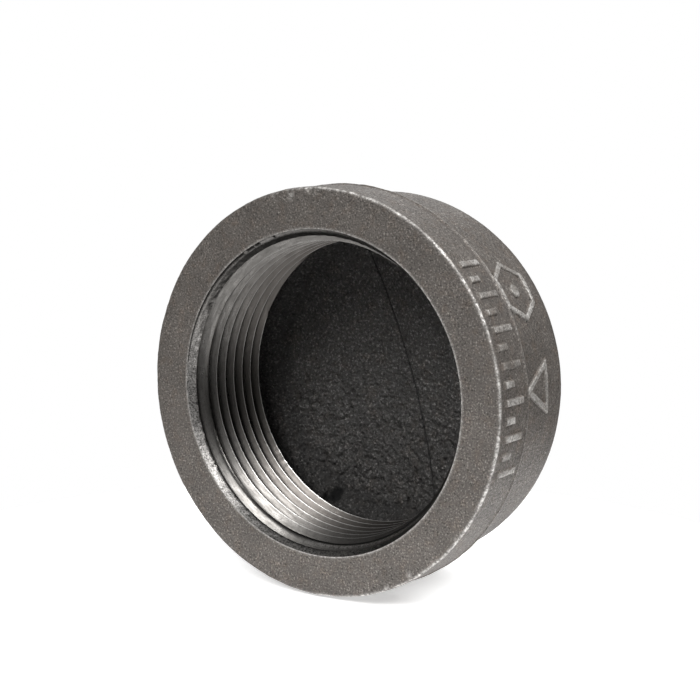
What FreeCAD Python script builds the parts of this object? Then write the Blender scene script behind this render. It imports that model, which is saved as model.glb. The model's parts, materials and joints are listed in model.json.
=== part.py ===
import FreeCAD, Part
import math
import os

# Banded pipe cap, nominal size 2-1/2 inch, with a female taper pipe thread (2-1/2 - 8, right hand).
#
# Frame: the origin is the centre of the mouth face, which is flat and faces -Y. The closed end is
# towards +Y and +Z is up. Every piece is drawn on a local axis, with the mouth face at z = 0, +z out
# of the mouth, and depths counted as -z. lay_down() then turns it so that local +z becomes -Y.
# Angles run counter-clockwise as seen from in front of the mouth, from +X at 3 o'clock.
#
# The cap is one iron casting with its thread cut in it. The raised cast marks are drawn as pieces of
# their own that sit on the casting's skin, so that they can be left off.

# --- taper pipe thread -------------------------------------------------------------------------
thread_pitch = 25.4 / 8           # 8 threads to the inch
thread_taper = 1.0 / 32           # fall of the radius for each millimetre of depth
thread_major_radius = 36.35       # root of the groove at the mouth face
thread_height = 0.8 * thread_pitch
thread_flat = 0.033 * thread_pitch
thread_flank_angle = 30.0         # half of the 60 degree form
thread_length = 23.8              # depth at which the thread runs out into the chamber
first_groove_depth = 4.65         # depth of the first groove's middle at 3 o'clock
groove_overcut = 0.05             # how far the groove cutter stands inside the crest at the mouth
groove_extra_turns = 1.25         # turns that the groove cutter runs on past the mouth
bore_radius = thread_major_radius - thread_height    # crest of the thread, drilled straight
bore_sectors = 4                  # the drilled wall is made of quarter turns
countersink_angle = 28.0          # from the axis; opens to the groove's root at the mouth face

# --- chamber behind the thread -----------------------------------------------------------------
chamber_clearance = 0.75          # from the groove's root at the mouth to the chamber's wall
chamber_radius = thread_major_radius + chamber_clearance
chamber_lead = 2.2                # length of the slope from the thread's crest out to the chamber
chamber_depth = 14.1              # from the end of the thread to the middle of the floor
chamber_corner_radius = 7.0
chamber_crown_radius = 180.0

# --- outer body --------------------------------------------------------------------------------
wall_thickness = 6.5
wall_radius = chamber_radius + wall_thickness
end_thickness = 5.3               # metal at the middle of the closed end
cap_height = thread_length + chamber_depth + end_thickness
end_corner_radius = 10.0
end_crown_radius = 220.0

# --- band round the mouth ----------------------------------------------------------------------
band_width = 12.2
band_rise = 2.15                  # height of the band's back edge over the wall
band_draft = 0.15                 # the band is this much smaller in radius at the mouth face
band_back_radius = wall_radius + band_rise
band_front_radius = band_back_radius - band_draft
face_edge_round = 0.5
step_length = 1.4                 # from the band's back edge down to the wall
step_round = 1.3
parting_ridge_height = 0.35       # mould parting ridge along the back edge of the band
parting_ridge_width = 0.9
parting_ridge_round = 0.2

# --- raised cast marks -------------------------------------------------------------------------
mark_height = 0.5
tally_count = 13                  # bars across the band
tally_first_angle = -17.0
tally_last_angle = 41.0
tally_bar_width = 1.6
tally_long_bar = 7.6
tally_short_bar = 3.8
tally_front_depth = 2.2           # where every bar starts, behind the mouth face

hexagon_angle = 32.0              # place of the hexagon's middle round the wall
hexagon_across_flats = 13.0
hexagon_line_width = 1.5
hexagon_pip_radius = 1.7

triangle_angle = 3.0
triangle_circle_radius = 7.2      # circle through the three outer corners
triangle_line_width = 1.5


def vertex(radius, depth):
    """A point of an axial section: distance from the axis, and depth behind the mouth face."""
    return FreeCAD.Vector(radius, 0, -depth)


def line(start, end):
    return Part.LineSegment(start, end).toShape()


def arc(start, middle, end):
    return Part.Arc(start, middle, end).toShape()


def rounded_path(corners):
    """Edges through corners given as (radius, depth, rounding), with tangent arcs at the corners."""
    points = [vertex(radius, depth) for radius, depth, _ in corners]
    edges = []
    start = points[0]
    for index in range(1, len(points) - 1):
        rounding = corners[index][2]
        corner = points[index]
        if rounding == 0:
            edges.append(line(start, corner))
            start = corner
            continue
        back = (points[index - 1] - corner).normalize()
        ahead = (points[index + 1] - corner).normalize()
        half_angle = back.getAngle(ahead) / 2
        bisector = (back + ahead).normalize()
        centre = corner + bisector * (rounding / math.sin(half_angle))
        setback = rounding / math.tan(half_angle)
        arc_start = corner + back * setback
        arc_end = corner + ahead * setback
        edges.append(line(start, arc_start))
        edges.append(arc(arc_start, centre - bisector * rounding, arc_end))
        start = arc_end
    edges.append(line(start, points[-1]))
    return edges


def closed_end(radius, end_depth, corner_radius, crown_radius):
    """Depth at which a straight wall turns in, and the corner and crown arcs from there to the axis."""
    crown_centre_depth = end_depth - crown_radius
    rise = math.sqrt((crown_radius - corner_radius) ** 2 - (radius - corner_radius) ** 2)
    corner_depth = crown_centre_depth + rise
    corner_centre = vertex(radius - corner_radius, corner_depth)
    crown_centre = vertex(0, crown_centre_depth)
    join_angle = math.atan2(rise, radius - corner_radius)
    corner_middle = corner_centre + on_circle(corner_radius, join_angle / 2)
    join = crown_centre + on_circle(crown_radius, join_angle)
    crown_middle = crown_centre + on_circle(crown_radius, (join_angle + math.pi / 2) / 2)
    corner_arc = arc(vertex(radius, corner_depth), corner_middle, join)
    crown_arc = arc(join, crown_middle, vertex(0, end_depth))
    return corner_depth, [corner_arc, crown_arc]


def on_circle(radius, angle):
    """Offset from a circle's centre in an axial section, turning from outwards to inwards."""
    return FreeCAD.Vector(radius * math.cos(angle), 0, -radius * math.sin(angle))


def revolve(edges):
    section = Part.Face(Part.Wire(edges))
    return section.revolve(FreeCAD.Vector(0, 0, 0), FreeCAD.Vector(0, 0, 1), 360)


def turned(shape, angle):
    return shape.rotated(FreeCAD.Vector(0, 0, 0), FreeCAD.Vector(0, 0, 1), angle)


def outer_end(growth):
    """The outer wall's turn into the closed end, for the outer body grown by a layer."""
    return closed_end(
        wall_radius + growth,
        cap_height + growth,
        end_corner_radius + growth,
        end_crown_radius + growth,
    )


def outer_body(growth=0):
    """The casting's outer shape, solid: band, parting ridge, step, wall and domed end.

    With a growth, everything behind the mouth face stands that much further out.
    """
    wall_end, end_arcs = outer_end(growth)
    band_back = band_back_radius + growth
    ridge = band_back + parting_ridge_height
    ridge_start = band_width - parting_ridge_width
    ridge_top = band_width - parting_ridge_width / 2
    side = rounded_path([
        (0, 0, 0),
        (band_front_radius + growth, 0, face_edge_round),
        (band_back, ridge_start, 0),
        (ridge, ridge_top, parting_ridge_round),
        (ridge, band_width + growth, parting_ridge_round),
        (wall_radius + growth, band_width + step_length + growth, step_round),
        (wall_radius + growth, wall_end, 0),
    ])
    axis = line(vertex(0, cap_height + growth), vertex(0, 0))
    return revolve(side + end_arcs + [axis])


def chamber():
    """The cored space behind the thread, as a solid to cut away."""
    floor_depth = thread_length + chamber_depth
    wall_end, end_arcs = closed_end(
        chamber_radius, floor_depth, chamber_corner_radius, chamber_crown_radius)
    mouth_edge = vertex(bore_radius, thread_length)
    wall_start = vertex(chamber_radius, thread_length + chamber_lead)
    side = [
        line(vertex(0, thread_length), mouth_edge),
        line(mouth_edge, wall_start),
        line(wall_start, vertex(chamber_radius, wall_end)),
    ]
    axis = line(vertex(0, floor_depth), vertex(0, thread_length))
    return revolve(side + end_arcs + [axis])


def drilled_bore():
    """The straight hole before tapping, in equal sectors, from the chamber out past the mouth.

    The seams between the sectors stay half a sector away from 3 o'clock, where the groove's turns meet.
    """
    turn = 360.0 / bore_sectors
    bottom = FreeCAD.Vector(0, 0, -thread_length)
    outwards = FreeCAD.Vector(0, 0, 1)
    length = thread_length + thread_pitch
    sectors = []
    for index in range(bore_sectors):
        sector = Part.makeCylinder(bore_radius, length, bottom, outwards, turn)
        sectors.append(turned(sector, (index + 0.5) * turn))
    return sectors[0].multiFuse(sectors[1:])


def countersink():
    """The cone that leads into the thread at the mouth face, as a solid to cut away."""
    depth = thread_height / math.tan(math.radians(countersink_angle))
    return Part.makeCone(bore_radius, thread_major_radius, depth, vertex(0, depth))


def thread_groove():
    """The tapered helical groove: one V section swept from inside the chamber out past the mouth."""
    turns_inside = math.ceil((thread_length + thread_pitch / 2 - first_groove_depth) / thread_pitch)
    start_depth = first_groove_depth + turns_inside * thread_pitch
    height = start_depth + groove_extra_turns * thread_pitch
    root = thread_major_radius - start_depth * thread_taper
    opening_depth = thread_height + groove_overcut
    half_flat = thread_flat / 2
    half_opening = half_flat + opening_depth * math.tan(math.radians(thread_flank_angle))
    section = Part.makePolygon([
        vertex(root, start_depth - half_flat),
        vertex(root - opening_depth, start_depth - half_opening),
        vertex(root - opening_depth, start_depth + half_opening),
        vertex(root, start_depth + half_flat),
        vertex(root, start_depth - half_flat),
    ])
    cone_angle = math.degrees(math.atan(thread_taper))
    path = Part.makeLongHelix(thread_pitch, height, root, cone_angle)
    path.translate(vertex(0, start_depth))
    return Part.Wire(path.Edges).makePipeShell([section], True, True)


def cap_body():
    body = outer_body()
    body = body.cut(chamber())
    body = body.cut(drilled_bore())
    body = body.cut(countersink())
    return body.cut(thread_groove())


def regular_outline(sides, circle_radius, first_angle):
    """Closed outline of a regular figure, flat, as a list of (across, along) points."""
    points = []
    for index in range(sides + 1):
        angle = math.radians(first_angle + index * 360.0 / sides)
        points.append((circle_radius * math.cos(angle), circle_radius * math.sin(angle)))
    return points


def bar_outline(width, length):
    half_width = width / 2
    half_length = length / 2
    return [
        (-half_width, -half_length),
        (half_width, -half_length),
        (half_width, half_length),
        (-half_width, half_length),
        (-half_width, -half_length),
    ]


def standing_prism(outline, depth):
    """A prism over a flat outline at 3 o'clock, reaching outwards from the axis.

    Outline points are (across, along): across runs round the casting, along runs out of the mouth.
    """
    points = [FreeCAD.Vector(0, across, along - depth) for across, along in outline]
    reach = FreeCAD.Vector(band_back_radius + 2 * mark_height, 0, 0)
    return Part.Face(Part.makePolygon(points)).extrude(reach)


def mark_skin():
    """A layer, mark_height thick, that lies on the whole casting behind the mouth face."""
    return outer_body(mark_height).cut(outer_body())


def wall_middle():
    """Depth of the middle of the straight wall between the band's step and the closed end."""
    wall_end, _ = outer_end(0)
    return (band_width + step_length + wall_end) / 2


def band_tally_marks():
    """A row of long and short raised bars across the band."""
    spacing = (tally_last_angle - tally_first_angle) / (tally_count - 1)
    skin = mark_skin()
    bars = []
    for index in range(tally_count):
        length = tally_long_bar if index % 2 == 0 else tally_short_bar
        prism = standing_prism(bar_outline(tally_bar_width, length), tally_front_depth + length / 2)
        bars.append(turned(prism, tally_first_angle + index * spacing).common(skin))
    return Part.makeCompound(bars)


def hexagon_mark():
    """A raised hexagonal frame with a round pip in its middle."""
    depth = wall_middle()
    outer_radius = hexagon_across_flats / 2 / math.cos(math.radians(30))
    inner_radius = outer_radius - hexagon_line_width / math.cos(math.radians(30))
    frame = standing_prism(regular_outline(6, outer_radius, 0), depth)
    frame = frame.cut(standing_prism(regular_outline(6, inner_radius, 0), depth))
    pip = Part.makeCylinder(
        hexagon_pip_radius, band_back_radius, vertex(0, depth), FreeCAD.Vector(1, 0, 0))
    skin = mark_skin()
    return Part.makeCompound([turned(piece, hexagon_angle).common(skin) for piece in (frame, pip)])


def triangle_mark():
    """A raised triangular frame."""
    depth = wall_middle()
    inner_radius = triangle_circle_radius - 2 * triangle_line_width
    frame = standing_prism(regular_outline(3, triangle_circle_radius, 90), depth)
    frame = frame.cut(standing_prism(regular_outline(3, inner_radius, 90), depth))
    return turned(frame, triangle_angle).common(mark_skin())


def lay_down(shape):
    """Turn a piece from the local axis into the part's frame: out of the mouth becomes -Y."""
    return shape.rotated(FreeCAD.Vector(0, 0, 0), FreeCAD.Vector(1, 0, 0), 90)


pieces = {
    "cap_body": cap_body,
    "band_tally_marks": band_tally_marks,
    "hexagon_mark": hexagon_mark,
    "triangle_mark": triangle_mark,
}

os.makedirs("parts", exist_ok=True)
for name, make in pieces.items():
    piece = lay_down(make())
    piece.exportStep(os.path.join("parts", name + ".step"))
    print(name, "solids", len(piece.Solids), "valid", piece.isValid(), "volume", round(piece.Volume, 1))
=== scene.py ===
import json
import math

import bpy
import numpy as np
from mathutils import Matrix, Vector


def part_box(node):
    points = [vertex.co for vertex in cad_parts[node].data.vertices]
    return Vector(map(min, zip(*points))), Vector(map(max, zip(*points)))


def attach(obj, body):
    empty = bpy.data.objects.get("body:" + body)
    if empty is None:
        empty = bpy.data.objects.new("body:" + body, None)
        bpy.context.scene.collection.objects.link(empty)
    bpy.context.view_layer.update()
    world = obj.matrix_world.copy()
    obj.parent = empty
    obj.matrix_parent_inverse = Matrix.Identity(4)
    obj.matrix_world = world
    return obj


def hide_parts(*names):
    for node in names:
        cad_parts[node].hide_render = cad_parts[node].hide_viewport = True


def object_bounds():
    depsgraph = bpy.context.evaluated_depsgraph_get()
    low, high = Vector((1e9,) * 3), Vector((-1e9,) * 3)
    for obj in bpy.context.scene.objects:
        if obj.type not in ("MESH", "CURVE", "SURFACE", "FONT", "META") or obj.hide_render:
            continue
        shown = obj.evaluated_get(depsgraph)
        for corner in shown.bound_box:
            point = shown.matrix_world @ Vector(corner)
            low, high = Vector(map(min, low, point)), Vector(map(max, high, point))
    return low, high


# The looks of a banded malleable iron pipe cap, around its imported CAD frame.
#
# The cap is one casting. It is drawn as four closed pieces that meet at its natural edges: the front
# ring (mouth face and band), the shell (step, wall and domed end), the tapped ring (countersink and
# thread) and the core face (the cored chamber). The raised cast marks are pieces of their own.
#
# Lengths are in millimetres until a mesh is made. The origin is the middle of the mouth face, depth
# runs along +Y into the cap, and angles run counter-clockwise as seen from in front, from +X.

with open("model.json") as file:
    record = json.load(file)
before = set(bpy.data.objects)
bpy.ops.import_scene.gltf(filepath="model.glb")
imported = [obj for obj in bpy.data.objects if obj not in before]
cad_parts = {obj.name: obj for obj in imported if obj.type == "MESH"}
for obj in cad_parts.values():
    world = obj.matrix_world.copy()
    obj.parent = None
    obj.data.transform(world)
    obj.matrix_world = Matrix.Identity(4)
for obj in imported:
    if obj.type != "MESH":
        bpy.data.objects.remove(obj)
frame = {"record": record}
cad_low, cad_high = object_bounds()

MM = 0.001

# --- sizes of the casting ----------------------------------------------------------------------
thread_mount = next(m for m in frame["record"]["mounts"] if m["name"] == "pipe_thread")
PITCH = 25.4 / 8
TAPER = 1 / 32
THREAD_HEIGHT = 0.8 * PITCH
BORE_RADIUS = thread_mount["dims"]["r_mm"]
MAJOR_RADIUS = BORE_RADIUS + THREAD_HEIGHT      # root of the groove at the mouth face
GROOVE_FLAT = 0.033 * PITCH
FLANK_SLOPE = 1 / math.tan(math.radians(30))
FIRST_GROOVE_DEPTH = 4.65       # depth of the first groove's middle at 3 o'clock
COUNTERSINK_SLOPE = math.tan(math.radians(28))
THREAD_LENGTH = 23.8
CHAMBER_CLEARANCE = 0.75
CHAMBER_RADIUS = MAJOR_RADIUS + CHAMBER_CLEARANCE
CHAMBER_LEAD = 2.2              # length of the slope from the last crest out to the chamber
THREAD_RIM = THREAD_LENGTH + CHAMBER_LEAD
CHAMBER_DEPTH = 14.1
CHAMBER_CORNER = 7.0
CHAMBER_CROWN = 180.0
WALL_THICKNESS = 6.5
WALL_RADIUS = CHAMBER_RADIUS + WALL_THICKNESS
CAP_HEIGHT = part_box("cap_body")[1].y / MM
END_CORNER = 10.0
END_CROWN = 220.0
BAND_WIDTH = 12.2
BAND_RISE = 2.15
BAND_DRAFT = 0.15
BAND_BACK_RADIUS = WALL_RADIUS + BAND_RISE
BAND_FRONT_RADIUS = BAND_BACK_RADIUS - BAND_DRAFT
FACE_EDGE_ROUND = 0.5
RIDGE_HEIGHT = 0.3              # parting ridge along the band's back edge
RIDGE_WIDTH = 0.8
RIDGE_ROUND = 0.2
RIDGE_RADIUS = BAND_BACK_RADIUS + RIDGE_HEIGHT
RIDGE_FOOT = (RIDGE_RADIUS - 0.5, BAND_WIDTH + 0.3)     # where the front ring meets the shell
STEP_LENGTH = 1.4
STEP_ROUND = 1.3
MARK_HEIGHT = 0.5


# --- noise -------------------------------------------------------------------------------------

def lattice_values(corner, seed):
    """A fixed random number from -1 to 1 for each whole-numbered lattice point."""
    x, y, z = (corner[:, axis].astype(np.uint32) for axis in range(3))
    h = x * np.uint32(374761393) + y * np.uint32(668265263) + z * np.uint32(2147483647)
    h = h + np.uint32(seed) * np.uint32(1274126177)
    h = (h ^ (h >> np.uint32(13))) * np.uint32(1274126177)
    h = (h ^ (h >> np.uint32(16))) * np.uint32(2246822519)
    h = h ^ (h >> np.uint32(15))
    return h.astype(np.float64) / 2147483647.5 - 1


def noise(points, cell, seed):
    """Smooth value noise, from -1 to 1, at an N x 3 array of points, with features of about cell."""
    scaled = points / cell
    base = np.floor(scaled)
    part = scaled - base
    part = part * part * (3 - 2 * part)
    base = base.astype(np.int64)
    total = np.zeros(len(points))
    for dx in (0, 1):
        for dy in (0, 1):
            for dz in (0, 1):
                weight = np.ones(len(points))
                for axis, step in enumerate((dx, dy, dz)):
                    weight = weight * (part[:, axis] if step else 1 - part[:, axis])
                total += weight * lattice_values(base + np.array([dx, dy, dz]), seed)
    return total


def smooth_step(value, low, high):
    """0 up to low, 1 from high on, and a smooth rise between them."""
    t = np.clip((value - low) / (high - low), 0, 1)
    return t * t * (3 - 2 * t)


def sand_grain(points, cell, seed):
    """Height of a sand-cast skin: round grains of about cell, on two scales, from -1 to 1."""
    coarse = noise(points, cell, seed)
    fine = noise(points, cell * 0.47, seed + 1)
    return 0.65 * coarse + 0.35 * fine


# --- axial sections ----------------------------------------------------------------------------

def subdivided(start, end, step):
    """Points along a straight line, about step apart, without its start."""
    count = max(1, math.ceil(np.linalg.norm(end - start) / step))
    return [start + (end - start) * k / count for k in range(1, count + 1)]


def arc_points(centre, radius, start_angle, end_angle, step):
    """Points along an arc, about step apart, without its start."""
    count = max(4, math.ceil(abs(end_angle - start_angle) * radius / step))
    angles = np.linspace(start_angle, end_angle, count + 1)[1:]
    return [centre + radius * np.array([math.cos(a), math.sin(a)]) for a in angles]


def section(corners, step):
    """Points (radius, depth) along corners given as (radius, depth, rounding), about step apart."""
    points = [np.array(corner[:2], float) for corner in corners]
    path = [points[0]]
    for index in range(1, len(points) - 1):
        corner, rounding = points[index], corners[index][2]
        if rounding == 0:
            path += subdivided(path[-1], corner, step)
            continue
        back = (points[index - 1] - corner) / np.linalg.norm(points[index - 1] - corner)
        ahead = (points[index + 1] - corner) / np.linalg.norm(points[index + 1] - corner)
        half = math.acos(np.clip(back @ ahead, -1, 1)) / 2
        bisector = (back + ahead) / np.linalg.norm(back + ahead)
        centre = corner + bisector * rounding / math.sin(half)
        setback = rounding / math.tan(half)
        first, last = corner + back * setback, corner + ahead * setback
        path += subdivided(path[-1], first, step)
        a = math.atan2(*(first - centre)[::-1])
        b = math.atan2(*(last - centre)[::-1])
        turn = (b - a + math.pi) % (2 * math.pi) - math.pi
        path += arc_points(centre, rounding, a, a + turn, step * 0.5)
    path += subdivided(path[-1], points[-1], step)
    return path


def closed_end(radius, end_depth, corner, crown, step):
    """Where a straight wall turns in, and the points of its corner and crown, up to the axis."""
    rise = math.sqrt((crown - corner) ** 2 - (radius - corner) ** 2)
    wall_end = end_depth - crown + rise
    join = math.atan2(rise, radius - corner)
    points = arc_points(np.array([radius - corner, wall_end]), corner, 0, join, step)
    points += arc_points(np.array([0, end_depth - crown]), crown, join, math.pi / 2, step)
    return wall_end, points[:-1]


def section_normals(path, side):
    """Unit normals of a section. side is 1 where the metal is on the axis side, and -1 elsewhere."""
    tangent = np.gradient(path, axis=0)
    tangent /= np.linalg.norm(tangent, axis=1, keepdims=True)
    return side * np.stack([tangent[:, 1], -tangent[:, 0]], axis=1)


def hidden_back(path, side, gap=2.0, count=14):
    """A few points (radius, depth) that follow a section inside the metal, from its start."""
    path = np.array(path)
    inside = path - gap * section_normals(path, side)
    return inside[np.linspace(0, len(path) - 1, count).astype(int)].tolist()


# --- meshes ------------------------------------------------------------------------------------

def around(radius, depth, angle):
    """Points in the frame, in millimetres, from radius, depth and angle arrays."""
    return np.stack([radius * np.cos(angle), depth, radius * np.sin(angle)], axis=-1)


def new_object(name, points, faces, material, sharp_angle=45.0):
    """A mesh object from millimetre points, facing outwards, with smooth shading."""
    mesh = bpy.data.meshes.new(name)
    mesh.from_pydata((points * MM).tolist(), [], faces)
    mesh.validate()
    mesh.polygons.foreach_set("use_smooth", np.ones(len(mesh.polygons), bool))
    mesh.set_sharp_from_angle(angle=math.radians(sharp_angle))
    mesh.materials.append(material)
    mesh.update()
    piece = bpy.data.objects.new(name, mesh)
    bpy.context.scene.collection.objects.link(piece)
    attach(piece, "root")
    return piece


def add_mask(piece, name, values):
    """Store one value from 0 to 1 for each point, for the material to read."""
    data = piece.data.attributes.new(name, "FLOAT", "POINT").data
    data.foreach_set("value", np.clip(values, 0, 1).astype(np.float32))


def grid_faces(rows, columns, wrap_rows, wrap_columns=True):
    """Quads between neighbouring rows of a grid of points, closed round on itself where asked."""
    row = np.arange(rows if wrap_rows else rows - 1)[:, None]
    column = np.arange(columns if wrap_columns else columns - 1)[None, :]
    next_row = (row + 1) % rows
    next_column = (column + 1) % columns
    corners = [
        row * columns + column,
        next_row * columns + column,
        next_row * columns + next_column,
        row * columns + next_column,
    ]
    return np.stack(corners, axis=-1).reshape(-1, 4)


def facing_outwards(points, faces):
    """The same faces, turned over if they enclose a negative volume."""
    a, b, c = (points[faces[:, k]] for k in range(3))
    d = points[faces[:, -1]]
    volume = (a * np.cross(b, c)).sum() + (a * np.cross(c, d)).sum()
    return faces if volume > 0 else faces[:, ::-1]


def pole_caps(points, total, columns, flipped):
    """Two points on the axis, and the triangles that join them to the first and the last row."""
    first = points[:columns]
    last = points[(total - 1) * columns:]
    poles = np.array([[0, first[:, 1].mean(), 0], [0, last[:, 1].mean(), 0]])
    start, end = len(points), len(points) + 1
    offset = (total - 1) * columns
    triangles = []
    for k in range(columns):
        after = (k + 1) % columns
        inner = [start, k, after]
        outer = [end, offset + after, offset + k]
        triangles.append(inner[::-1] if flipped else inner)
        triangles.append(outer[::-1] if flipped else outer)
    return poles, triangles


def turned_piece(name, rows, back, ends_on_axis, material, masks):
    """A closed solid of revolution from a grid of visible points and a plain hidden back.

    rows is R x C x 3. back lists (radius, depth) of the hidden rows that lead from the last visible
    row round to the first, or from the first in to the axis where the piece ends on the axis. masks
    maps a point attribute's name to its values on the visible grid.
    """
    columns = rows.shape[1]
    angle = np.linspace(0, 2 * math.pi, columns, endpoint=False)
    hidden = [around(np.full(columns, r), np.full(columns, d), angle) for r, d in back]
    visible = len(rows)
    if ends_on_axis:
        grid = np.concatenate([np.array(hidden[::-1]), rows])
    else:
        grid = np.concatenate([rows, np.array(hidden)])
    total = len(grid)
    points = grid.reshape(-1, 3)
    faces = grid_faces(total, columns, not ends_on_axis)
    face_list = facing_outwards(points, faces).tolist()
    if ends_on_axis:
        flipped = face_list[0] != faces[0].tolist()
        poles, triangles = pole_caps(points, total, columns, flipped)
        points = np.concatenate([points, poles])
        face_list += triangles
    piece = new_object(name, points, face_list, material)
    offset = (total - visible) * columns if ends_on_axis else 0
    for mask, grid_values in masks.items():
        values = np.zeros(len(points))
        values[offset:offset + grid_values.size] = grid_values.ravel()
        add_mask(piece, mask, values)
    return piece


def surface_grid(path, side, columns, height):
    """Visible points of a turned surface, moved along its normals by height(points, radius, depth)."""
    path = np.array(path)
    normal = section_normals(path, side)
    angle = np.linspace(0, 2 * math.pi, columns, endpoint=False)[None, :]
    radius = np.repeat(path[:, :1], columns, axis=1)
    depth = np.repeat(path[:, 1:], columns, axis=1)
    points = around(radius, depth, angle)
    lift = height(points.reshape(-1, 3), radius.ravel(), depth.ravel()).reshape(radius.shape)
    return around(radius + lift * normal[:, :1], depth + lift * normal[:, 1:], angle)


# --- materials ---------------------------------------------------------------------------------

class Nodes:
    """Short names for building one material's nodes."""

    def __init__(self, name):
        self.material = bpy.data.materials.new(name)
        self.material.use_nodes = True
        self.tree = self.material.node_tree
        self.shader = self.tree.nodes["Principled BSDF"]
        self.place = self.add("ShaderNodeTexCoord").outputs["Object"]

    def add(self, kind, **settings):
        node = self.tree.nodes.new(kind)
        for key, value in settings.items():
            setattr(node, key, value)
        return node

    def link(self, output, socket):
        self.tree.links.new(output, socket)

    def noise(self, size_mm, detail=2.0, roughness=0.5, distortion=0.0):
        """Noise with features of about size_mm, as a value from 0 to 1."""
        node = self.add("ShaderNodeTexNoise")
        node.inputs["Scale"].default_value = 1 / (size_mm * MM)
        node.inputs["Detail"].default_value = detail
        node.inputs["Roughness"].default_value = roughness
        node.inputs["Distortion"].default_value = distortion
        self.link(self.place, node.inputs["Vector"])
        return node.outputs["Fac"]

    def ramp(self, value, *stops):
        """Colour ramp through (position, colour) stops; a colour may be a single grey."""
        node = self.add("ShaderNodeValToRGB")
        while len(node.color_ramp.elements) < len(stops):
            node.color_ramp.elements.new(0.5)
        for element, (position, colour) in zip(node.color_ramp.elements, stops):
            colour = (colour,) * 3 if isinstance(colour, (int, float)) else colour
            element.position = position
            element.color = (*colour, 1)
        self.link(value, node.inputs["Fac"])
        return node.outputs["Color"]

    def mix(self, factor, a, b, blend="MIX"):
        node = self.add("ShaderNodeMix", data_type="RGBA", blend_type=blend)
        for value, socket in ((factor, node.inputs[0]), (a, node.inputs[6]), (b, node.inputs[7])):
            if isinstance(value, bpy.types.NodeSocket):
                self.link(value, socket)
            elif socket.type == "RGBA":
                socket.default_value = (*value, 1)
            else:
                socket.default_value = value
        return node.outputs[2]

    def math(self, operation, a, b=0.0, clamp=False):
        node = self.add("ShaderNodeMath", operation=operation, use_clamp=clamp)
        for value, socket in ((a, node.inputs[0]), (b, node.inputs[1])):
            if isinstance(value, bpy.types.NodeSocket):
                self.link(value, socket)
            else:
                socket.default_value = value
        return node.outputs[0]

    def attribute(self, name):
        return self.add("ShaderNodeAttribute", attribute_name=name).outputs["Fac"]

    def bump(self, height, distance_mm, strength=1.0, under=None):
        node = self.add("ShaderNodeBump")
        node.inputs["Strength"].default_value = strength
        node.inputs["Distance"].default_value = distance_mm * MM
        self.link(height, node.inputs["Height"])
        if under is not None:
            self.link(under, node.inputs["Normal"])
        return node.outputs["Normal"]

    def finish(self, colour, roughness, normal, metallic):
        self.link(colour, self.shader.inputs["Base Color"])
        self.link(roughness, self.shader.inputs["Roughness"])
        self.link(normal, self.shader.inputs["Normal"])
        self.shader.inputs["Metallic"].default_value = metallic
        return self.material


def cast_skin(name, pit, base, speck, grain_mm, bump_mm, gloss):
    """Sand-cast iron: mottled dark grey-brown, dark pits, light specks, rubbed bright where worn.

    gloss is the roughness of the grains' tops. One point attribute brightens it where it is rubbed
    and where a highlight is painted; the point attribute shade darkens it nearly to black where shade
    is painted and along a seam.
    """
    n = Nodes(name)
    grain = n.noise(grain_mm, detail=3.0, roughness=0.62)
    colour = n.ramp(grain, (0.34, pit), (0.45, base), (0.56, base), (0.68, speck))
    mottle = n.ramp(n.noise(7.0, detail=3.0), (0.3, 0.86), (0.7, 1.12))
    colour = n.mix(1.0, colour, mottle, "MULTIPLY")
    rust = n.ramp(n.noise(2.6, detail=4.0, roughness=0.6), (0.5, 0.0), (0.72, 0.5))
    colour = n.mix(rust, colour, n.mix(1.0, colour, (1.14, 0.97, 0.84), "MULTIPLY"))
    streaks = n.noise(0.5, detail=3.0, roughness=0.65)
    bright = n.ramp(streaks, (0.38, (0.2, 0.19, 0.18)), (0.6, (0.72, 0.7, 0.67)))
    broken = n.ramp(n.noise(0.9, detail=3.0), (0.3, 0.35), (0.6, 1.0))
    # Rubbed wear, and a painted highlight where the attribute carries one, lighten the colour.
    rub_and_highlight = n.math("MULTIPLY", n.attribute("wear"), broken, clamp=True)
    colour = n.mix(rub_and_highlight, colour, bright)
    # Painted shade: the shade attribute darkens the colour nearly to black.
    shade = n.attribute("shade")
    colour = n.mix(shade, colour, (0.004, 0.004, 0.004))
    rough = n.ramp(grain, (0.34, gloss + 0.2), (0.66, gloss))
    rough = n.mix(rub_and_highlight, rough, (0.36, 0.36, 0.36))
    rough = n.mix(shade, rough, (0.9, 0.9, 0.9))
    normal = n.bump(n.noise(grain_mm, detail=4.0, roughness=0.65), bump_mm)
    normal = n.bump(n.noise(grain_mm * 2.6, detail=2.0), bump_mm * 1.8, under=normal)
    return n.finish(colour, rough, normal, 0.35)


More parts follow.
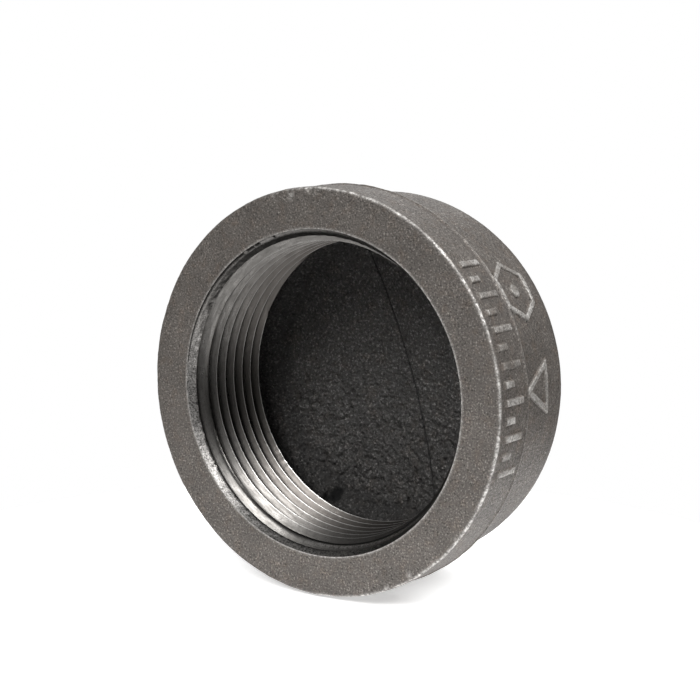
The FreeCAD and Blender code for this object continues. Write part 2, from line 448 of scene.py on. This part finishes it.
def machined_iron(name):
    """Cut iron: satin, faintly streaked along the cut, with dark specks where the metal tore.

    Point attributes mark the countersink's rough-cut metal and the crests rubbed bright, both with a
    painted highlight added on the lower left, and a painted shade that darkens the inner end of the
    thread.
    """
    n = Nodes(name)
    plain_place = n.place
    stretch = n.add("ShaderNodeMapping")
    stretch.inputs["Scale"].default_value = (1.0, 12.0, 1.0)
    n.link(n.place, stretch.inputs["Vector"])
    n.place = stretch.outputs["Vector"]
    streak = n.noise(3.5, detail=4.0, roughness=0.55)
    n.place = plain_place
    dark, middle, light = (0.086, 0.082, 0.077), (0.12, 0.115, 0.109), (0.16, 0.154, 0.147)
    tone = n.ramp(streak, (0.3, dark), (0.5, middle), (0.7, light))
    grit = n.noise(0.4, detail=3.0, roughness=0.65)
    specks = n.ramp(grit, (0.33, 0.35), (0.45, 1.0))
    colour = n.mix(0.6, tone, specks, "MULTIPLY")
    # The countersink's rough-cut metal, with a painted highlight that is strongest on the lower left.
    torn = n.attribute("torn")
    colour = n.mix(torn, colour, n.ramp(grit, (0.36, (0.1, 0.095, 0.09)), (0.64, (0.6, 0.58, 0.56))))
    # Painted shade: the thread darkened towards its inner end.
    colour = n.mix(n.attribute("deep"), colour, (0.05, 0.045, 0.041))
    # Crests rubbed bright, with a painted highlight that is strongest on the lower left.
    colour = n.mix(n.attribute("crest"), colour, (0.5, 0.49, 0.475))
    rough = n.ramp(streak, (0.3, 0.34), (0.7, 0.26))
    rough = n.mix(torn, rough, (0.42, 0.42, 0.42))
    normal = n.bump(streak, 0.007)
    normal = n.bump(grit, 0.007, under=normal)
    return n.finish(colour, rough, normal, 1.0)


skin_material = cast_skin(
    "cast_iron_skin", pit=(0.031, 0.028, 0.025), base=(0.1, 0.089, 0.08), speck=(0.26, 0.238, 0.216),
    grain_mm=0.42, bump_mm=0.11, gloss=0.46)
core_material = cast_skin(
    "cast_iron_core_face", pit=(0.01, 0.009, 0.008), base=(0.044, 0.042, 0.04), speck=(0.18, 0.174, 0.168),
    grain_mm=0.55, bump_mm=0.5, gloss=0.33)
mark_material = cast_skin(
    "cast_iron_mark", pit=(0.035, 0.031, 0.028), base=(0.125, 0.112, 0.1), speck=(0.28, 0.26, 0.24),
    grain_mm=0.42, bump_mm=0.09, gloss=0.48)
thread_material = machined_iron("cut_iron_thread")


# --- the casting -------------------------------------------------------------------------------

# Points round each turned piece.
FRONT_COLUMNS = 1080
SHELL_COLUMNS = 600
THREAD_COLUMNS = 720
CORE_COLUMNS = 640


def skin_height(points, radius, depth):
    """Relief of the outer skin: sand grain and a slow waviness."""
    return 0.035 * sand_grain(points, 0.7, 11) + 0.05 * noise(points, 6.0, 17) - 0.05


def edge_closeness(radius, depth, edge_radius, edge_depth, reach):
    """1 on a turned edge, falling to 0 over about reach."""
    distance = np.hypot(radius - edge_radius, depth - edge_depth)
    return np.exp(-(distance / reach) ** 2)


# Chips in the mouth face: angle in degrees, distance from the axis, and size.
CHIPS = ((98.5, 44.1, 0.9), (92.5, 44.9, 0.7), (89.5, 44.7, 0.6), (104.0, 44.9, 0.6), (-57.0, 44.3, 0.7),
         (-48.0, 44.8, 0.6), (-66.0, 44.9, 0.7), (-38.0, 44.9, 0.5))


def rubbed_side(points):
    """1 on the side of the front edge that is rubbed and burred, from the top clockwise to the bottom."""
    turn = np.arctan2(points[:, 2], points[:, 0])
    return smooth_step(turn, -1.9, -1.4) * (1 - smooth_step(turn, 1.5, 1.9))


def chip_mask(points):
    """How far each point is inside the small chips knocked out of the mouth face near its edge."""
    total = np.zeros(len(points))
    for degrees, radius, size in CHIPS:
        angle = math.radians(degrees)
        gap = points - np.array([radius * math.cos(angle), 0, radius * math.sin(angle)])
        total += np.exp(-(gap ** 2).sum(axis=1) / size ** 2)
    return total.clip(0, 1)


def front_height(points, radius, depth):
    """The outer skin, with the face's outer edge dented and burred, and a broken parting ridge."""
    lift = skin_height(points, radius, depth)
    edge = edge_closeness(radius, depth, BAND_FRONT_RADIUS, 0, 0.7)
    burr = 0.14 * noise(points, 2.6, 23) + 0.09 * noise(points, 0.9, 29)
    burr = burr * (0.35 + 0.65 * rubbed_side(points))
    ridge = edge_closeness(radius, depth, RIDGE_RADIUS, BAND_WIDTH, 0.5)
    inner = edge_closeness(radius, depth, MAJOR_RADIUS, 0, 0.35)
    lift += edge * (burr - 0.05) + ridge * (0.08 * noise(points, 1.7, 31) - 0.1)
    lift -= chip_mask(points) * (0.22 + 0.25 * noise(points, 0.7, 37))
    return lift * (1 - inner) - 0.03 * inner


def front_wear_and_highlight(points, radius, depth):
    """Where the front ring is rubbed bright: its outer edge, its chips and the top of the parting ridge,
    with a painted highlight along the mouth's inner rim.

    The outer edge is rubbed on one side only.
    """
    edge = edge_closeness(radius, depth, BAND_FRONT_RADIUS - 0.1, 0.1, 0.36)
    edge = edge * (1.0 + 0.7 * noise(points, 2.4, 41)) * (0.12 + 0.88 * rubbed_side(points))
    ridge = edge_closeness(radius, depth, RIDGE_RADIUS, BAND_WIDTH - 0.2, 0.2)
    inner = edge_closeness(radius, depth, MAJOR_RADIUS, 0, 0.28)
    ridge = 0.6 * ridge * (0.7 + 0.6 * noise(points, 4.0, 43))
    # 0.8 * inner is a painted highlight: a bright line along the mouth's inner rim.
    return edge + ridge + 0.8 * inner + 0.5 * chip_mask(points) * (0.5 + noise(points, 0.6, 47))


def make_front_ring():
    """The mouth face, the band and the parting ridge on its back edge."""
    path = section([
        (MAJOR_RADIUS, 0, 0),
        (BAND_FRONT_RADIUS, 0, FACE_EDGE_ROUND),
        (BAND_BACK_RADIUS, BAND_WIDTH - RIDGE_WIDTH, 0),
        (RIDGE_RADIUS, BAND_WIDTH - RIDGE_WIDTH / 2, RIDGE_ROUND),
        (RIDGE_RADIUS, BAND_WIDTH, RIDGE_ROUND),
        (*RIDGE_FOOT, 0),
    ], 0.3)
    rows = surface_grid(path, 1, FRONT_COLUMNS, front_height)
    rows[..., 1] = np.maximum(rows[..., 1], 0)
    flat = rows.reshape(-1, 3)
    spread = np.repeat(np.array(path), FRONT_COLUMNS, axis=0)
    masks = {"wear": front_wear_and_highlight(flat, spread[:, 0], spread[:, 1])}
    back = [(CHAMBER_RADIUS + 2, BAND_WIDTH), (CHAMBER_RADIUS + 1, 1.5)]
    piece = turned_piece("cap_front_ring", rows, back, False, skin_material, masks)
    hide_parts("cap_body")


def make_shell():
    """The step behind the band, the wall and the domed closed end."""
    wall_end, end_points = closed_end(WALL_RADIUS, CAP_HEIGHT, END_CORNER, END_CROWN, 0.55)
    path = section([
        (*RIDGE_FOOT, 0),
        (WALL_RADIUS, BAND_WIDTH + STEP_LENGTH, STEP_ROUND),
        (WALL_RADIUS, wall_end, 0),
    ], 0.42) + end_points
    rows = surface_grid(path, 1, SHELL_COLUMNS, skin_height)
    rows[..., 1] = np.minimum(rows[..., 1], CAP_HEIGHT)
    turned_piece("cap_shell", rows, hidden_back(path, 1), True, skin_material, {})


def thread_radius(depth, angle):
    """Distance of the tapped surface from the axis: the deepest of bore, groove, countersink and lead."""
    groove = FIRST_GROOVE_DEPTH - PITCH * angle / (2 * math.pi)
    offset = np.abs((depth - groove + PITCH / 2) % PITCH - PITCH / 2)
    root = MAJOR_RADIUS - depth * TAPER
    cut = root - np.maximum(0, offset - GROOVE_FLAT / 2) * FLANK_SLOPE
    countersink = MAJOR_RADIUS - depth * COUNTERSINK_SLOPE
    last_crest = BORE_RADIUS - THREAD_LENGTH * TAPER
    lead = last_crest + (depth - THREAD_LENGTH) * (CHAMBER_RADIUS - last_crest) / CHAMBER_LEAD
    return np.maximum.reduce([cut, countersink, lead, BORE_RADIUS - depth * TAPER])


def groove_rows():
    """Depths at 3 o'clock of rows that follow the helix: on the edges of each crest and root.

    They start before the mouth and end a turn past the chamber, so that every point of both rims is
    reached, and they repeat every pitch.
    """
    half_flat = GROOVE_FLAT / 2
    half_groove = half_flat + THREAD_HEIGHT / FLANK_SLOPE
    flank = np.append(np.linspace(half_flat, half_groove - 0.07, 4), half_groove)
    offsets = np.concatenate([[-PITCH / 2], -flank[::-1], flank])
    before = math.ceil((FIRST_GROOVE_DEPTH - PITCH / 2) / PITCH) + 1
    after = math.ceil((THREAD_RIM + PITCH) / PITCH) + 1
    turns = np.arange(-before, after) * PITCH + FIRST_GROOVE_DEPTH
    return (turns[:, None] + offsets).ravel(), len(offsets)


def joined(points, faces):
    """Points and faces with coinciding points made one, and faces that fold up left out."""
    _, keep, place = np.unique(points.round(5), axis=0, return_index=True, return_inverse=True)
    whole = []
    for face in place.ravel()[faces].tolist():
        ring = [corner for k, corner in enumerate(face) if corner != face[k - 1]]
        if len(set(ring)) > 2:
            whole.append(ring)
    return keep, whole


def on_countersink(radius, depth):
    """1 on the countersink and 0 on the thread."""
    cone = MAJOR_RADIUS - depth * COUNTERSINK_SLOPE
    return (1 - smooth_step(radius - cone, 0.02, 0.08)) * (1 - smooth_step(depth, 3.0, 3.6))


def tapped_relief(points, depth, countersink):
    """Torn metal: slight on the thread, more on the countersink and at the thread's lower inner end."""
    relief = 0.016 * noise(points, 0.9, 51) + 0.012 * noise(points, 0.45, 53)
    run_out = np.exp(-((depth - THREAD_LENGTH) / 0.5) ** 2).ravel()
    low_side = smooth_step(-points[:, 2], 5, 25)
    relief = relief + run_out * (0.03 + 0.3 * low_side) * noise(points, 0.7, 57)
    relief = relief.reshape(depth.shape) * smooth_step(depth, 0, 0.4)
    burrs = 0.06 * noise(points, 0.6, 59).reshape(depth.shape)
    return relief + countersink * smooth_step(depth, 0, 0.3) * burrs


def tapped_masks(radius, depth, angle, countersink):
    """Where the ring is rough-cut and where its crests are rubbed bright, both with a painted highlight on
    the lower left, and a painted shade that darkens it inwards.
    """
    # The lower left of the bore, where a painted highlight is added to the countersink and the crests.
    highlight_side = smooth_step(-np.cos(angle - math.radians(50)), 0.0, 0.9)
    crest = 1 - smooth_step(radius - BORE_RADIUS + depth * TAPER, 0.02, 0.1)
    return {
        "torn": countersink * (0.12 + 0.88 * highlight_side),
        "crest": crest * (1 - countersink) * (0.25 + 0.75 * highlight_side),
        # Painted shade that darkens the thread towards its inner end.
        "deep": 0.8 * smooth_step(depth, 3, 20),
    }


def make_tapped_ring():
    """Countersink, thread and lead. The rows follow the helix and stop at both rims."""
    row_depths, per_turn = groove_rows()
    turn = np.arange(THREAD_COLUMNS) / THREAD_COLUMNS
    depth = np.clip(row_depths[:, None] - PITCH * turn, 0, THREAD_RIM)
    angle = np.repeat(2 * math.pi * turn[None, :], len(depth), axis=0)
    radius = thread_radius(depth, angle)
    countersink = on_countersink(radius, depth)
    relief = tapped_relief(around(radius, depth, angle).reshape(-1, 3), depth, countersink)
    back = [(CHAMBER_RADIUS + 0.8, THREAD_RIM - 0.6), (CHAMBER_RADIUS + 0.3, 1.5)]
    circle = np.ones(THREAD_COLUMNS)
    hidden = [around(r * circle, d * circle, angle[0]) for r, d in back]
    points = np.concatenate([around(radius + relief, depth, angle), np.array(hidden)]).reshape(-1, 3)
    faces = helical_faces(len(row_depths), per_turn, len(back))
    keep, whole = joined(points, facing_outwards(points, faces))
    piece = new_object("cap_tapped_ring", points[keep], whole, thread_material)
    unseen = np.zeros(len(back) * THREAD_COLUMNS)
    for mask, values in tapped_masks(radius, depth, angle, countersink).items():
        add_mask(piece, mask, np.concatenate([values.ravel(), unseen])[keep])


def helical_faces(rows, per_turn, back_rows):
    """Quads of a grid whose rows climb one pitch in a turn, closed by plain circular back rows."""
    faces = grid_faces(rows, THREAD_COLUMNS, False, False)
    row = np.arange(per_turn, rows - 1) * THREAD_COLUMNS
    lower = row - per_turn * THREAD_COLUMNS
    last = THREAD_COLUMNS - 1
    seam = np.stack([row + last, row + THREAD_COLUMNS + last, lower + THREAD_COLUMNS, lower], axis=-1)
    column = np.arange(THREAD_COLUMNS)
    after = (column + 1) % THREAD_COLUMNS
    starts = [r * THREAD_COLUMNS for r in range(rows - 1, rows + back_rows)] + [0]
    hidden = [
        np.stack([start + column, end + column, end + after, start + after], axis=-1)
        for start, end in zip(starts, starts[1:])
    ]
    return np.concatenate([faces, seam] + hidden)


SEAM_MIDDLE = 1.97              # x of the core's seam where it crosses the middle of the floor
SEAM_LEAN = -0.314              # change of x for each millimetre up
SEAM_BOW = -0.0015
PIT_PLACE = (-17.1, -31.4)      # x and z of the shrinkage pit
PIT_SIZE = (2.1, 1.6)


def seam_and_pit(points, depth):
    """Signed distance across the core's seam, depth in the shrinkage pit, and 1 on the floor."""
    middle = SEAM_MIDDLE + SEAM_LEAN * points[:, 2] + SEAM_BOW * points[:, 2] ** 2
    across = (points[:, 0] - middle + 0.12 * noise(points, 7.0, 71)) / math.hypot(1, SEAM_LEAN)
    on_floor = smooth_step(depth, THREAD_LENGTH + 5, THREAD_LENGTH + 8)
    beside = (points[:, 0] - PIT_PLACE[0]) / PIT_SIZE[0]
    above = (points[:, 2] - PIT_PLACE[1]) / PIT_SIZE[1]
    pit = np.hypot(beside, above) + 0.3 * noise(points, 1.2, 73)
    return across, on_floor * np.exp(-pit ** 6), on_floor


def core_height(points, radius, depth):
    """Relief of the cored chamber: coarse sand, slow waves, the core's seam and a shrinkage pit."""
    low = smooth_step(-points[:, 2], -10, 22)
    lift = (0.2 + 0.36 * low) * sand_grain(points, 0.95, 61) + 0.14 * noise(points, 5.0, 67)
    across, pit, on_floor = seam_and_pit(points, depth)
    lift = lift * (1 - 0.7 * np.exp(-(across / 0.5) ** 2))
    lift += on_floor * (0.12 * np.tanh(across / 0.2) - 0.4 * np.exp(-(across / 0.22) ** 2))
    return lift - 1.2 * pit


def core_shade(across, pit, on_floor, radius, depth):
    """Painted shade in the cored chamber's pit and round its floor's corner, less on a ring where the
    corner starts, and a dark line along the seam.
    """
    # The pit's and the corner's darkening is painted shade; the seam's line is darkened as well.
    lighter_ring = 1 - 0.5 * np.exp(-((depth - 32.5) / 0.9) ** 2)
    corner = smooth_step(radius, 30, 33) * lighter_ring
    return pit + 0.4 * corner + 0.95 * on_floor * np.exp(-(across / 0.27) ** 2)


def make_core_face():
    """The cored chamber behind the thread: its wall, corner and floor."""
    floor_depth = THREAD_LENGTH + CHAMBER_DEPTH
    wall_end, end_points = closed_end(CHAMBER_RADIUS, floor_depth, CHAMBER_CORNER, CHAMBER_CROWN, 0.4)
    path = section([(CHAMBER_RADIUS, THREAD_RIM, 0), (CHAMBER_RADIUS, wall_end, 0)], 0.4) + end_points
    rows = surface_grid(path, -1, CORE_COLUMNS, core_height)
    spread = np.repeat(np.array(path), CORE_COLUMNS, axis=0)
    across, pit, on_floor = seam_and_pit(rows.reshape(-1, 3), spread[:, 1])
    masks = {"shade": core_shade(across, pit, on_floor, spread[:, 0], spread[:, 1])}
    turned_piece("cap_core_face", rows, hidden_back(path, -1), True, core_material, masks)


# --- raised marks ------------------------------------------------------------------------------

MARK_SPACING = 0.16             # between the points of a mark
MARK_SINK = 0.3                 # how far a mark's patch lies under the skin beside the mark
MARK_ROOT = 1.0                 # how far its hidden back lies under the skin


def polygon_distance(across, along, sides, inner_circle, turn):
    """Signed distance from a regular polygon's edge, negative inside."""
    angle = np.arctan2(along, across) - turn
    sector = 2 * math.pi / sides
    folded = (angle + sector / 2) % sector - sector / 2
    return np.hypot(across, along) * np.cos(folded) - inner_circle


def slab_faces(rows, columns):
    """Faces of a closed slab: a grid of points, the same grid under it, and the sides."""
    count = rows * columns
    top = grid_faces(rows, columns, False, False)
    ring = np.concatenate([
        np.arange(columns),
        np.arange(1, rows) * columns + columns - 1,
        np.arange(columns - 2, -1, -1) + (rows - 1) * columns,
        np.arange(rows - 2, 0, -1) * columns,
    ])
    after = np.roll(ring, -1)
    sides = np.stack([ring, after, after + count, ring + count], axis=-1)
    return np.concatenate([top, top[:, ::-1] + count, sides])


def mark_patch(name, node, middle_angle, middle_depth, width, length, base_radius, distance, seed):
    """A raised mark on a turned surface: a patch whose relief stands out where distance is negative.

    The patch lies under the skin outside the mark, so the mark's foot blends into the casting.
    """
    rows = math.ceil(length / MARK_SPACING)
    columns = math.ceil(width / MARK_SPACING)
    along = np.linspace(-length / 2, length / 2, rows)[:, None]
    across = np.linspace(-width / 2, width / 2, columns)[None, :]
    along = np.repeat(along, columns, axis=1)
    across = np.repeat(across, rows, axis=0)
    angle = math.radians(middle_angle) + across / base_radius
    depth = middle_depth - along
    skin = around(np.full(depth.shape, base_radius), depth, angle).reshape(-1, 3)
    ragged = 0.1 * noise(skin, 0.9, seed).reshape(depth.shape)
    inside = 1 - smooth_step(distance(across, along) + ragged, -0.3, 0.32)
    worn = 1 - 0.3 * smooth_step(noise(skin, 4.0, seed + 3), 0.1, 0.8).reshape(depth.shape)
    grain = 0.04 * sand_grain(skin, 0.6, seed + 5).reshape(depth.shape)
    lift = -MARK_SINK + (MARK_SINK + MARK_HEIGHT * 0.94 * worn) * inside + grain * inside
    top = around(base_radius + lift, depth, angle).reshape(-1, 3)
    under = around(np.full(depth.shape, base_radius - MARK_ROOT), depth, angle).reshape(-1, 3)
    points = np.concatenate([top, under])
    faces = facing_outwards(points - points.mean(axis=0), slab_faces(rows, columns))
    piece = new_object(name, points, faces.tolist(), mark_material, 60)
    bright = (inside * smooth_step(lift, MARK_HEIGHT * 0.45, MARK_HEIGHT * 0.9)).ravel()
    bright = bright * (0.55 + 0.6 * noise(skin, 5.0, seed + 7))
    add_mask(piece, "wear", np.concatenate([bright, np.zeros(len(under))]))
    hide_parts(node)


TALLY_COUNT = 13
TALLY_ANGLES = (-17.0, 41.0)    # of the first and the last bar
TALLY_BAR_WIDTH = 1.6
TALLY_LENGTHS = (7.6, 3.8)      # of long and short bars, in turn
TALLY_FRONT_DEPTH = 2.2
HEXAGON_ANGLE = 32.0
HEXAGON_FLATS = 13.0
TRIANGLE_ANGLE = 3.0
TRIANGLE_CIRCLE = 7.2           # radius of the circle through its corners
LINE_WIDTH = 1.5
PIP_RADIUS = 1.7


def make_marks():
    """Bars across the band, and a hexagon and a triangle on the wall."""
    band_radius = (BAND_FRONT_RADIUS + BAND_BACK_RADIUS) / 2
    first, last = (math.radians(angle) for angle in TALLY_ANGLES)
    spacing = (last - first) / (TALLY_COUNT - 1) * band_radius
    span = spacing * (TALLY_COUNT - 1)
    middle_depth = TALLY_FRONT_DEPTH + TALLY_LENGTHS[0] / 2

    def tally(across, along):
        index = np.round((across + span / 2) / spacing).clip(0, TALLY_COUNT - 1)
        beside = np.abs(across + span / 2 - index * spacing) - TALLY_BAR_WIDTH / 2
        length = np.where(index % 2 == 0, *TALLY_LENGTHS)
        beyond = np.abs(along - (TALLY_LENGTHS[0] - length) / 2) - length / 2
        return np.maximum(beside, beyond)

    def hexagon(across, along):
        edge = polygon_distance(across, along, 6, HEXAGON_FLATS / 2, math.pi / 6)
        frame_line = np.abs(edge + LINE_WIDTH / 2) - LINE_WIDTH / 2
        return np.minimum(frame_line, np.hypot(across, along) - PIP_RADIUS)

    def triangle(across, along):
        edge = polygon_distance(across, along, 3, TRIANGLE_CIRCLE / 2, math.pi / 6 + math.pi / 3 * 2)
        return np.abs(edge + LINE_WIDTH / 2) - LINE_WIDTH / 2

    wall_end, _ = closed_end(WALL_RADIUS, CAP_HEIGHT, END_CORNER, END_CROWN, 1.0)
    wall_middle = (BAND_WIDTH + STEP_LENGTH + wall_end) / 2
    mark_patch("tally_marks", "band_tally_marks", sum(TALLY_ANGLES) / 2, middle_depth,
               span + 3, TALLY_LENGTHS[0] + 1.2, band_radius, tally, 81)
    mark_patch("hexagon_emblem", "hexagon_mark", HEXAGON_ANGLE, wall_middle,
               HEXAGON_FLATS + 4, HEXAGON_FLATS + 4, WALL_RADIUS, hexagon, 91)
    mark_patch("triangle_emblem", "triangle_mark", TRIANGLE_ANGLE, wall_middle,
               TRIANGLE_CIRCLE * 2 + 1, TRIANGLE_CIRCLE * 2 + 1, WALL_RADIUS, triangle, 101)


# --- stage, light and camera -------------------------------------------------------------------

# Metres and degrees from here on. Azimuths run from the front of the mouth towards +X.
FLOOR_LEVEL = cad_low[2]
FLOOR_GLOW = 0.5
TABLE_RADIUS = 0.12
ROOM_LIGHT = 0.11
CAMERA_AZIMUTH = 32.95
CAMERA_ELEVATION = 7.96
CAMERA_DISTANCE = 0.34467
CAMERA_AIM = (0.00744, 0.00981)      # right of and above the middle of the mouth face
SENSOR = 36.0
FOCAL_LENGTH = SENSOR * 2.2376


def view_axes(azimuth, elevation):
    """Right, up and backward directions of a level camera that looks from azimuth and elevation."""
    a, e = math.radians(azimuth), math.radians(elevation)
    backward = Vector((math.sin(a) * math.cos(e), -math.cos(a) * math.cos(e), math.sin(e)))
    right = Vector((math.cos(a), math.sin(a), 0))
    return right, backward.cross(right), backward


def make_camera():
    """A camera that looks straight back along the view direction, past the middle of the mouth."""
    right, up, backward = view_axes(CAMERA_AZIMUTH, CAMERA_ELEVATION)
    place = right * CAMERA_AIM[0] + up * CAMERA_AIM[1] + backward * CAMERA_DISTANCE
    data = bpy.data.cameras.new("camera")
    data.sensor_width = SENSOR
    data.lens = FOCAL_LENGTH
    data.clip_start = 0.01
    camera = bpy.data.objects.new("camera", data)
    turn = Matrix((right, up, backward)).transposed()
    camera.matrix_world = Matrix.Translation(place) @ turn.to_4x4()
    bpy.context.scene.collection.objects.link(camera)
    bpy.context.scene.camera = camera


def make_floor():
    """A pale, softly glowing round table that the cap rests on."""
    angles = np.linspace(0, 2 * math.pi, 96, endpoint=False)
    corners = [(TABLE_RADIUS * math.cos(a), TABLE_RADIUS * math.sin(a), FLOOR_LEVEL) for a in angles]
    mesh = bpy.data.meshes.new("floor")
    mesh.from_pydata(corners, [], [tuple(range(len(corners)))])
    material = bpy.data.materials.new("pale_floor")
    material.use_nodes = True
    shader = material.node_tree.nodes["Principled BSDF"]
    shader.inputs["Base Color"].default_value = (0.9, 0.9, 0.9, 1)
    shader.inputs["Roughness"].default_value = 0.9
    shader.inputs["Emission Color"].default_value = (1, 1, 1, 1)
    shader.inputs["Emission Strength"].default_value = FLOOR_GLOW
    mesh.materials.append(material)
    floor = bpy.data.objects.new("floor", mesh)
    bpy.context.scene.collection.objects.link(floor)


def make_light(name, azimuth, elevation, distance, size, power):
    """A round softbox that faces the origin."""
    _, _, backward = view_axes(azimuth, elevation)
    data = bpy.data.lights.new(name, "AREA")
    data.shape = "DISK"
    data.size = size
    data.energy = power
    light = bpy.data.objects.new(name, data)
    turn = backward.to_track_quat("Z", "Y").to_matrix().to_4x4()
    light.matrix_world = Matrix.Translation(backward * distance) @ turn
    bpy.context.scene.collection.objects.link(light)


def make_world():
    """A white backdrop that lights the cap only dimly, so the softboxes model it."""
    world = bpy.data.worlds.new("studio")
    world.use_nodes = True
    tree = world.node_tree
    dim = tree.nodes["Background"]
    dim.inputs["Color"].default_value = (1, 1, 1, 1)
    dim.inputs["Strength"].default_value = ROOM_LIGHT
    white = tree.nodes.new("ShaderNodeBackground")
    white.inputs["Color"].default_value = (1, 1, 1, 1)
    choose = tree.nodes.new("ShaderNodeMixShader")
    path = tree.nodes.new("ShaderNodeLightPath")
    tree.links.new(path.outputs["Is Camera Ray"], choose.inputs[0])
    tree.links.new(dim.outputs[0], choose.inputs[1])
    tree.links.new(white.outputs[0], choose.inputs[2])
    tree.links.new(choose.outputs[0], tree.nodes["World Output"].inputs["Surface"])
    bpy.context.scene.world = world


make_front_ring()
make_shell()
make_tapped_ring()
make_core_face()
make_marks()
make_camera()
make_floor()
make_world()
make_light("key_softbox", azimuth=-1, elevation=38, distance=0.8, size=0.42, power=6.3)
make_light("side_softbox", azimuth=98, elevation=48, distance=0.8, size=0.5, power=8.0)
make_light("back_softbox", azimuth=205, elevation=32, distance=0.9, size=0.5, power=1.2)
bpy.context.scene.view_settings.view_transform = "Standard"
